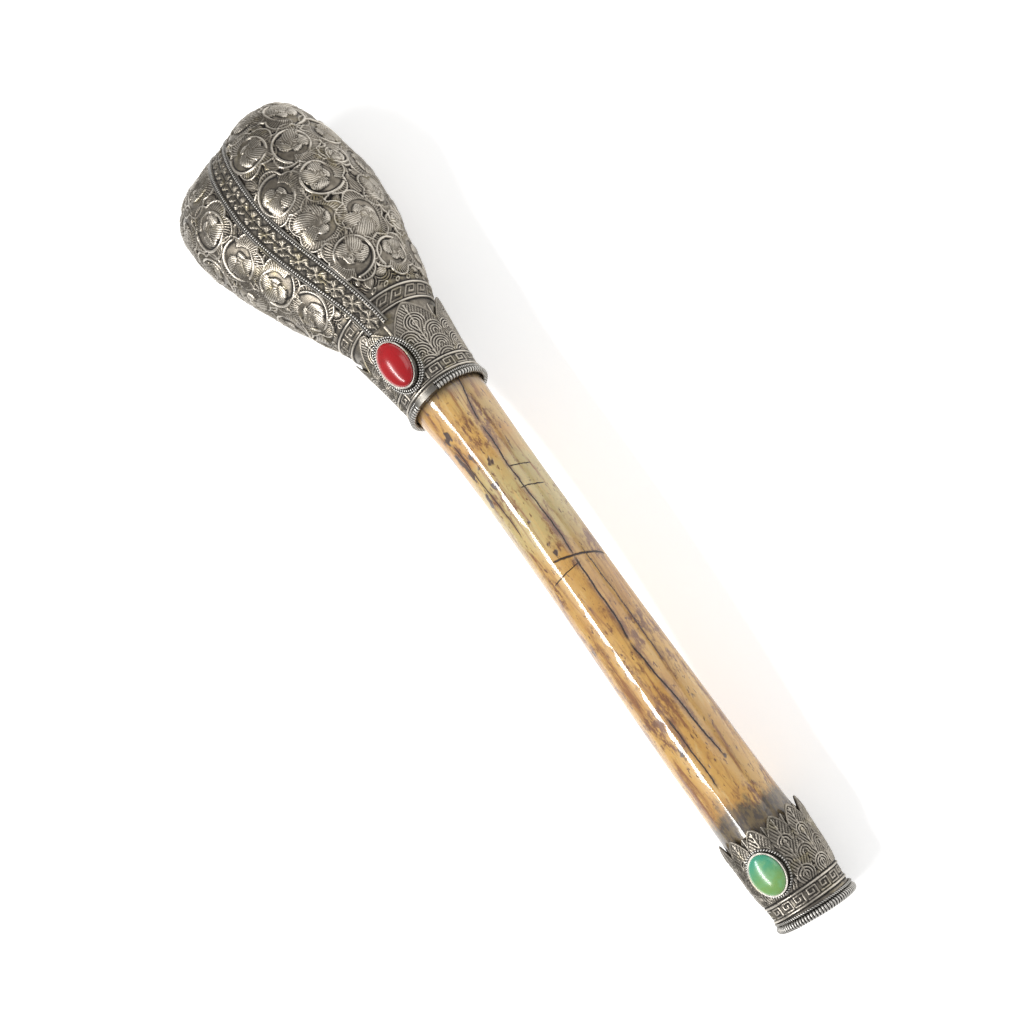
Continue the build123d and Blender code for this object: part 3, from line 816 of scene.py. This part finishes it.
def bead_oval(node, axes):
    """Beaded wire laid round a stone."""
    places = axes.local(vertices(node))
    half = (places.max(0) - places.min(0)) / 2 - 0.4
    angle = np.linspace(0, 2 * pi, 300)
    oval = np.column_stack((half[0] * np.cos(angle), half[1] * np.sin(angle)))
    starts = np.column_stack((oval, BESIDE + 0 * angle))
    hits = axes.local(cast(tree_of(node), axes.world(starts), axes.world(starts * (1, 1, 0.2))))
    known = ~np.isnan(hits[:, 2])
    top = np.interp(angle, angle[known], hits[known, 2], period=2 * pi)
    path = np.column_stack((oval, top - SETTING_BEAD_RADIUS + 0.3))
    out = np.tile((0.0, 0.0, 1.0), (len(angle), 1))
    outline = partial(beaded, SETTING_BEAD_RADIUS, SETTING_BEAD_PITCH)
    return swept(axes.world(path), out @ axes.rows, outline, 0.1, 8, closed=True)


# ---- Materials ----
class Value:
    """Number, colour or direction that a material's nodes work out; numbers can be used in sums."""

    def __init__(self, shader, socket):
        self.shader, self.socket = shader, socket

    def __add__(self, other):
        return self.shader.math("ADD", self, other)

    def __mul__(self, other):
        return self.shader.math("MULTIPLY", self, other)

    def __sub__(self, other):
        return self.shader.math("SUBTRACT", self, other)

    def __abs__(self):
        return self.shader.math("ABSOLUTE", self)

    def or_more(self, other):
        return self.shader.math("MAXIMUM", self, other)

    def swing(self, amount):
        """A noise turned into a number from -amount / 2 to amount / 2."""
        return (self - 0.5) * amount

    def step(self, low, high):
        """0 below low, 1 above high, smooth between; low may be the larger."""
        sockets = {"Value": self, "From Min": low, "From Max": high}
        return self.shader.value("MapRange", sockets, interpolation_type="SMOOTHSTEP")

    def blend(self, first, second):
        """Number from first, where this is 0, to second, where it is 1."""
        return self.shader.value("Mix", {0: self, 2: first, 3: second}, data_type="FLOAT")

    def mix(self, first, second):
        """The same for colours."""
        return self.shader.value("Mix", {0: self, 6: first, 7: second}, 2, data_type="RGBA")


class Shader:
    """Short-hand for one material's nodes."""

    def __init__(self, name):
        self.material = bpy.data.materials.new(name)
        self.material.use_nodes = True
        self.tree = self.material.node_tree
        self.tree.nodes.clear()
        self.surface = self.add("BsdfPrincipled")
        out = self.tree.nodes.new("ShaderNodeOutputMaterial")
        self.tree.links.new(self.surface.outputs[0], out.inputs[0])
        self.place = self.value("TexCoord", output="Object")

    def add(self, kind, sockets=None, **settings):
        node = self.tree.nodes.new("ShaderNode" + kind)
        for key, value in settings.items():
            setattr(node, key, value)
        for key, value in (sockets or {}).items():
            self.feed(node.inputs[key], value)
        return node

    def value(self, kind, sockets=None, output=0, **settings):
        return Value(self, self.add(kind, sockets, **settings).outputs[output])

    def math(self, operation, *terms):
        return self.value("Math", dict(enumerate(terms)), operation=operation)

    def feed(self, socket, value):
        """Gives a socket a link, a colour or a plain value."""
        if isinstance(value, Value):
            self.tree.links.new(value.socket, socket)
        elif isinstance(value, tuple) and len(value) == 3 and socket.type == "RGBA":
            socket.default_value = (*value, 1.0)
        else:
            socket.default_value = value

    def position(self):
        """World x, y and z in metres."""
        split = self.add("SeparateXYZ", {0: self.place})
        return [Value(self, socket) for socket in split.outputs]

    def noise(self, scale, detail, rough, stretch=None, distortion=0.0):
        """Noise over the object, its scale per metre; stretch scales each axis further."""
        place = self.place
        if stretch is not None:
            place = self.value("Mapping", {"Vector": place, "Scale": stretch})
        sockets = {"Vector": place, "Scale": scale, "Detail": detail, "Roughness": rough}
        return self.value("TexNoise", sockets | {"Distortion": distortion})

    def bump(self, height, distance, strength=1.0, under=None):
        sockets = {"Height": height, "Distance": distance, "Strength": strength}
        if under is not None:
            sockets["Normal"] = under
        return self.value("Bump", sockets)

    def finish(self, **sockets):
        """The material, with its surface's sockets set."""
        for key, value in sockets.items():
            self.feed(self.surface.inputs[key.replace("_", " ")], value)
        return self.material


def silver(name, middle, wear_and_highlight_colour, level=None):
    """Tarnished silver with painted shade and highlight: near black in the hollows, for tarnish and
    painted shade, and bright on the crests, for rubbing and a painted highlight.

    A level of 0 to 1 stands in for the relief of a piece that has none.
    """
    shader = Shader(name)
    if level is None:
        level = shader.value("Attribute", output="Fac", attribute_name="relief")
    fine = shader.noise(1500.0, 6.0, 0.65)
    scratch = shader.noise(60.0, 8.0, 0.75, (14.0, 60.0, 60.0))
    uneven = fine.swing(0.25) + level
    # painted shade: near black in the hollows and beside ridges, on top of the tarnish there
    hollow = uneven.step(0.50, 0.24)
    # painted highlight on the crests, on top of the rubbing there
    wear_and_highlight = (uneven + scratch * 0.12).step(0.62, 0.90)
    stain = shader.noise(110.0, 5.0, 0.6).step(0.50, 0.68)
    yellow = stain.mix(middle, (middle[0], middle[1] * 0.96, middle[2] * 0.72))
    deep = tuple(value * 0.52 for value in middle)
    dull = shader.noise(330.0, 5.0, 0.6).step(0.38, 0.72).mix(yellow, deep)
    return shader.finish(
        Base_Color=hollow.mix(wear_and_highlight.mix(dull, wear_and_highlight_colour), (0.012, 0.010, 0.009)),
        Metallic=hollow.blend(1.0, 0.3),
        Roughness=hollow.blend(fine.blend(0.24, 0.46), 0.8),
        Normal=shader.bump(fine * 0.7 + scratch, 0.00010, 0.5),
    )


def bone_line():
    """Sideways place and height of the bone's middle line, each as a cubic of world x, in metres."""
    tree = tree_of("bone_tube")
    around = np.linspace(0, 2 * pi, 36, endpoint=False)
    stations = np.linspace(0.03, 0.215, 14)
    centres = []
    for x in stations:
        inside = np.array((x, 0.0, 0.012))
        ring = inside + 0.03 * np.column_stack((0 * around, np.sin(around), np.cos(around)))
        hits = cast(tree, ring, np.tile(inside, (len(around), 1)))
        centres.append(fit_circle(hits[:, 1:]))
    return [np.polyfit(stations, places, 3) for places in np.transpose(centres)]


def cubic(x, terms):
    """Value of a polynomial at x, its highest term first."""
    value = float(terms[0])
    for term in terms[1:]:
        value = x * value + float(term)
    return value


def bone(name):
    """Polished amber bone with streaks, pits, dark stains at the mounts and open cracks."""
    shader = Shader(name)
    x, y, z = shader.position()
    side_terms, height_terms = bone_line()
    side, lift = cubic(x, side_terms) - y, z - cubic(x, height_terms)
    turn = shader.math("ARCTAN2", side, lift) * BONE_RADIUS
    along = x * 1000.0

    grain = shader.noise(9.0, 8.0, 0.66, (3.2, 38.0, 38.0), 0.6)
    cloud = shader.noise(30.0, 5.0, 0.6)
    patchy = shader.noise(75.0, 9.0, 0.72, (0.55, 1.0, 1.0))
    speck = shader.noise(900.0, 4.0, 0.65, (0.32, 1.0, 1.0))
    amber = cloud.step(0.40, 0.60).mix((0.40, 0.205, 0.042), (0.47, 0.270, 0.066))
    greenish = shader.noise(19.0, 4.0, 0.55).step(0.46, 0.62) * along.step(GREENISH_FROM, GREENISH_FULL)
    olive = greenish.mix(amber, (0.40, 0.310, 0.125))
    streaked = grain.step(0.50, 0.66).mix(olive, (0.205, 0.080, 0.020))
    pale = grain.step(0.44, 0.32).mix(streaked, (0.50, 0.335, 0.125))
    brown = patchy.step(0.49, 0.60) * speck.step(0.40, 0.54)
    mottled = brown.mix(pale, (0.15, 0.058, 0.018))
    dotted = speck.step(0.59, 0.67).mix(mottled, (0.12, 0.050, 0.018))

    below = (along + patchy.swing(44.0)).step(DIRTY_BELOW, DIRTY_BELOW - 6)
    dirty = below.or_more(along.step(DIRTY_ABOVE, DIRTY_ABOVE + 7)) * cloud.step(0.20, 0.50)
    dirt = speck.step(0.42, 0.60).mix((0.115, 0.080, 0.036), (0.048, 0.034, 0.026))
    pits = pit_field(shader, along, turn)
    pitted = pits.mix(dirty.mix(dotted, dirt), (0.055, 0.028, 0.018))
    cracks, beside = crack_field(shader, along, turn)
    browned = (beside * patchy.step(0.38, 0.56)).mix(pitted, (0.13, 0.050, 0.018))

    hollows = shader.bump((cracks + pits * 0.5) * -1.0, 0.0003)
    ripple = shader.noise(420.0, 5.0, 0.6, (0.5, 1.0, 1.0))
    return shader.finish(
        Base_Color=cracks.mix(browned, (0.022, 0.009, 0.006)),
        Roughness=grain.blend(0.34, 0.5),
        Normal=shader.bump(ripple, 0.00017, 0.8, hollows),
        Coat_Weight=cracks.blend(0.75, 0.0),
        Coat_Roughness=0.07,
        Subsurface_Weight=0.08,
        Subsurface_Radius=(0.004, 0.002, 0.001),
    )


def within(value, start, end, fade):
    """1 from start to end, fading out inside both."""
    return value.step(start, start + fade) * value.step(end, end - fade)


def crack_field(shader, along, turn):
    """1 in the bone's open cracks, along it and across it; and 1 in the stain beside the long ones."""
    wander = shader.noise(45.0, 5.0, 0.6).swing(3.4)
    jitter = shader.noise(260.0, 4.0, 0.6).swing(1.2)
    cracks, beside = 0.0, 0.0
    for start, end, place, width, drift in BONE_CRACKS:
        off = abs(turn + wander - ((along - start) * drift + place))
        inside = within(along, start, end, 4)
        cracks = (off.step(width, width * 0.35) * inside).or_more(cracks)
        beside = (off.step(STAIN_REACH * width, width * 0.5) * inside).or_more(beside)
    for start, end, place, width, lean in RING_CRACKS:
        off = abs(along - ((turn - start) * lean + place + jitter))
        cracks = (off.step(width, width * 0.35) * within(turn, start, end, 1.5)).or_more(cracks)
    return cracks, beside


def pit_field(shader, along, turn):
    """1 in the dark pits on the bone's left side near the neck, and in a few elsewhere."""
    start, end = PITTED
    zone = along.step(start, start + 12) * along.step(end, end - 9) * turn.step(2.5, -1.0)
    pits = shader.noise(240.0, 2.0, 0.5, (0.6, 1.0, 1.0))
    return (pits + zone * 0.19).step(0.70, 0.76)


def stone(name, first, second, clouds, edge):
    """Polished stone that shades from one colour to another between two places along it."""
    shader = Shader(name)
    uneven = shader.noise(90.0, 3.0, 0.5).swing(0.008)
    body = (shader.position()[0] + uneven).step(*edge).mix(first, second)
    return shader.finish(
        Base_Color=shader.noise(260.0, 5.0, 0.6).step(0.45, 0.75).mix(body, clouds),
        Roughness=0.24,
        Coat_Weight=0.4,
        Coat_Roughness=0.11,
        Specular_IOR_Level=0.35,
        Subsurface_Weight=0.15,
        Subsurface_Radius=(0.003, 0.0015, 0.001),
        Normal=shader.bump(shader.noise(300.0, 2.0, 0.5), 0.00008, 0.5),
    )


def filling(name, colour):
    """Dark, brittle pitch or resin."""
    shader = Shader(name)
    grit = shader.noise(900.0, 6.0, 0.7)
    return shader.finish(
        Base_Color=grit.mix(colour, tuple(value * 2.5 for value in colour)),
        Roughness=grit.blend(0.55, 0.85),
        Normal=shader.bump(grit, 0.0002),
    )


def table_top():
    """Plain pale surface under the trumpet."""
    shader = Shader("table")
    return shader.finish(
        Base_Color=shader.noise(40.0, 5.0, 0.6).mix((0.88, 0.88, 0.875), (0.90, 0.90, 0.90)),
        Roughness=0.8,
        Emission_Color=(0.9, 0.9, 0.9),
        Emission_Strength=0.5,
    )


def make_materials():
    """A material for each slot of the record."""
    red_edge = [corner.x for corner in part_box("coral_stone")]
    low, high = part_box("turquoise_stone")
    green_edge = (low.x + 0.003, high.x - 0.001)
    # bright colour of the crests: rubbing, and a painted highlight
    wear_and_highlight_colour = (0.50, 0.46, 0.40)
    recipes = {
        "bone": (bone,),
        "pitch": (filling, (0.020, 0.014, 0.011)),
        "setting_bed": (filling, (0.030, 0.018, 0.012)),
        "bell_silver": (silver, (0.205, 0.180, 0.146), wear_and_highlight_colour),
        "strap_silver": (silver, (0.215, 0.192, 0.156), wear_and_highlight_colour),
        "sleeve_silver": (silver, (0.250, 0.223, 0.186), wear_and_highlight_colour),
        "wire_silver": (silver, (0.22, 0.208, 0.19), (0.50, 0.485, 0.455)),
        "fitting_silver": (silver, (0.20, 0.188, 0.168), (0.38, 0.36, 0.33), 0.56),
        "coral": (stone, (0.29, 0.002, 0.005), (0.35, 0.003, 0.007), (0.25, 0.002, 0.004), red_edge),
        "turquoise": (stone, (0.155, 0.30, 0.085), (0.045, 0.27, 0.17), (0.15, 0.34, 0.15), green_edge),
    }
    return {name: make(name, *terms) for name, (make, *terms) in recipes.items()}


# ---- Build ----
NECK = ring_axes("neck_coil_wire")
RIM = ring_axes("mouth_coil_wire")
MOUTH = sleeve_axes("mouth_sleeve", RIM, 8.0, 28.0)
HOLE_AXES = {word: hole_axis(word) for word in ("left", "right")}
MATERIALS = make_materials()
BELL = Bell()


def paint_cad_nodes():
    """Gives each CAD node the material of its slot, and rounds the edges of the plain fittings."""
    for part in frame["record"]["subparts"]:
        node, slot = part["node"], part["material_slot"]
        solid = frame["nodes"][node]
        solid.data.materials.clear()
        solid.data.materials.append(MATERIALS[slot])
        if slot == "fitting_silver":
            bevel = solid.modifiers.new("edges", "BEVEL")
            bevel.width = 0.12 * MM
            bevel.segments = 2
            bevel.limit_method = "ANGLE"


def make_pieces():
    """Every modelled piece, each in place of a CAD node."""
    for word in ("left", "right"):
        piece(f"bell_casing_{word}", "embossed", "bell_silver", [bell_half(word == "left")])
    edge = partial(drawn, STRAP_EDGE_RADIUS)
    beads = partial(beaded, STRAP_BEAD_RADIUS, STRAP_BEAD_PITCH)
    for name, front in (("front_strap", True), ("rear_strap", False)):
        piece(name, "chased", "strap_silver", [strap(front)])
        for word, side in (("left", 1), ("right", -1)):
            wire = strap_wire(front, side if front else -side, -0.45, 0.22, edge, 0.4, 10)
            piece(f"{name}_edge_wire_{word}", "drawn", "wire_silver", [wire])
            if front:
                wire = strap_wire(front, side, 0.55, 0.12, beads, 0.08, 8)
                piece(f"{name}_bead_wire_{word}", "beaded", "wire_silver", [wire])
    piece("neck_sleeve", "carved", "sleeve_silver", neck_sleeve())
    piece("mouth_sleeve", "carved", "sleeve_silver", mouth_sleeve())
    rings = (
        ("neck_coil_wire", NECK, coiled, 1.25, 0.13, 16),
        ("neck_bead_wire", NECK, beaded, 0.8, 0.1, 8),
        ("mouth_coil_wire", RIM, coiled, 1.05, 0.11, 16),
        ("mouth_rope_wire", RIM, twisted, 0.9, 0.11, 10),
    )
    for node, *wire in rings:
        piece(node, "wound", "wire_silver", [ring_wire(node, *wire)])
    for node, sleeve, gem in (
        ("coral_bead_wire_inner", NECK, "coral_stone"),
        ("coral_bead_wire_outer", NECK, "coral_stone"),
        ("turquoise_bead_wire_round", MOUTH, "turquoise_stone"),
    ):
        piece(node, "beaded", "wire_silver", [bead_oval(node, setting_axes(sleeve, gem))])


# ---- Stage ----
def floor():
    """Square floor under the lowest point, in metres."""
    low = min(bounds_at_load[0].z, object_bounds()[0].z)
    mesh = bpy.data.meshes.new("floor")
    size = 6.0
    corners = [(-size, -size, low), (size, -size, low), (size, size, low), (-size, size, low)]
    mesh.from_pydata(corners, [], [(0, 1, 2, 3)])
    mesh.materials.append(table_top())
    shown("floor", mesh)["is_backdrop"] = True


def looking(eye, aim, up):
    """Matrix of an object at eye that looks at aim along its -Z, with its Y towards up."""
    back = unit(np.subtract(eye, aim))
    right = unit(np.cross(up, back))
    turn = Matrix(np.column_stack((right, np.cross(back, right), back)).tolist())
    return Matrix.Translation(eye) @ turn.to_4x4()


def lamp(name, eye, aim, size, power):
    """Rectangular lamp, its size in metres and its power in watts."""
    data = bpy.data.lights.new(name, "AREA")
    data.shape = "RECTANGLE"
    data.size, data.size_y = size
    data.energy = power
    shown(name, data).matrix_world = looking(eye, aim, (1, 0, 0))


def lights():
    """Even white light all round, a long strip on the left and a weak key on the right."""
    world = bpy.data.worlds.new("studio")
    world.use_nodes = True
    background = world.node_tree.nodes["Background"].inputs
    background["Color"].default_value = (1, 1, 1, 1)
    background["Strength"].default_value = 0.50
    bpy.context.scene.world = world
    middle = (0.17, 0.0, 0.0)
    strip = radians(30)
    lamp("strip_left", (0.17, 1.1 * sin(strip), 1.1 * cos(strip)), middle, (0.12, 1.3), 15)
    lamp("key_right", (0.45, -1.15, 0.75), middle, (1.0, 1.0), 6)


def camera():
    """Camera placed by the view's angles from the bone's chord."""
    rise = radians(CHORD_PITCH)
    chord = np.array((cos(rise), 0, sin(rise)))
    square = np.array((-sin(rise), 0, cos(rise)))
    left = np.array((0, 1.0, 0))
    along, aside, roll = radians(VIEW_ALONG), radians(VIEW_ASIDE), radians(VIEW_ROLL)
    back = -sin(along) * chord - cos(along) * sin(aside) * left + cos(along) * cos(aside) * square
    aim = (chord * VIEW_TARGET[0] + left * VIEW_TARGET[1]) * MM
    eye = aim + back * VIEW_DISTANCE * MM
    towards_bell = unit(chord - back * (chord @ back))
    aside_of_it = np.cross(towards_bell, back)
    up = sin(roll) * towards_bell + cos(roll) * aside_of_it
    data = bpy.data.cameras.new("camera")
    data.lens = LENS
    data.clip_start, data.clip_end = 0.01, 20
    made = shown("camera", data)
    made.matrix_world = looking(eye, aim, up)
    bpy.context.scene.camera = made


paint_cad_nodes()
make_pieces()
floor()
lights()
camera()
bpy.context.scene.view_settings.view_transform = "Standard"
